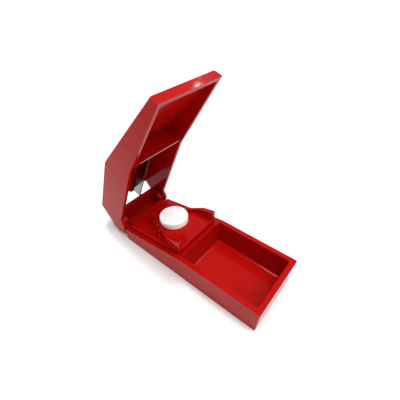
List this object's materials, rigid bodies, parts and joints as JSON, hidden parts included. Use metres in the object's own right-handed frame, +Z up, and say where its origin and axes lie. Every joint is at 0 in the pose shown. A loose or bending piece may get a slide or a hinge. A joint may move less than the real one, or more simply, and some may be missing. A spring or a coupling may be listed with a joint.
{
  "type": "tablet cutter",
  "caption": "Small hinged box that cuts a tablet: a V-shaped holder and a blade in the lid, with a storage compartment at the front.",
  "frame": {"origin": "on the flat underside, straight below the hinge line, in the middle plane", "axes": "+X forward from the hinge to the storage end, +Y across, +Z up"},
  "size_m": [0.093, 0.032, 0.0813],
  "materials": {
    "tray_plastic": "gloss moulded red",
    "holder_plastic": "gloss moulded red",
    "lid_plastic": "gloss moulded red",
    "blade_steel": "ground stainless strip",
    "tablet_chalk": "pressed white powder"
  },
  "bodies": {
    "base": {"base_tray": "tray_plastic", "tablet_holder": "holder_plastic", "tablet_near_half": "tablet_chalk", "tablet_far_half": "tablet_chalk"},
    "lid": {"lid_shell": "lid_plastic", "blade": "blade_steel"}
  },
  "joints": [
    {"name": "lid_hinge", "type": "hinge", "parent": "base", "child": "lid", "pos_m": [0, 0, 0.0076], "axis": [0, -1, 0], "range_deg": [-59, 46]}
  ]
}
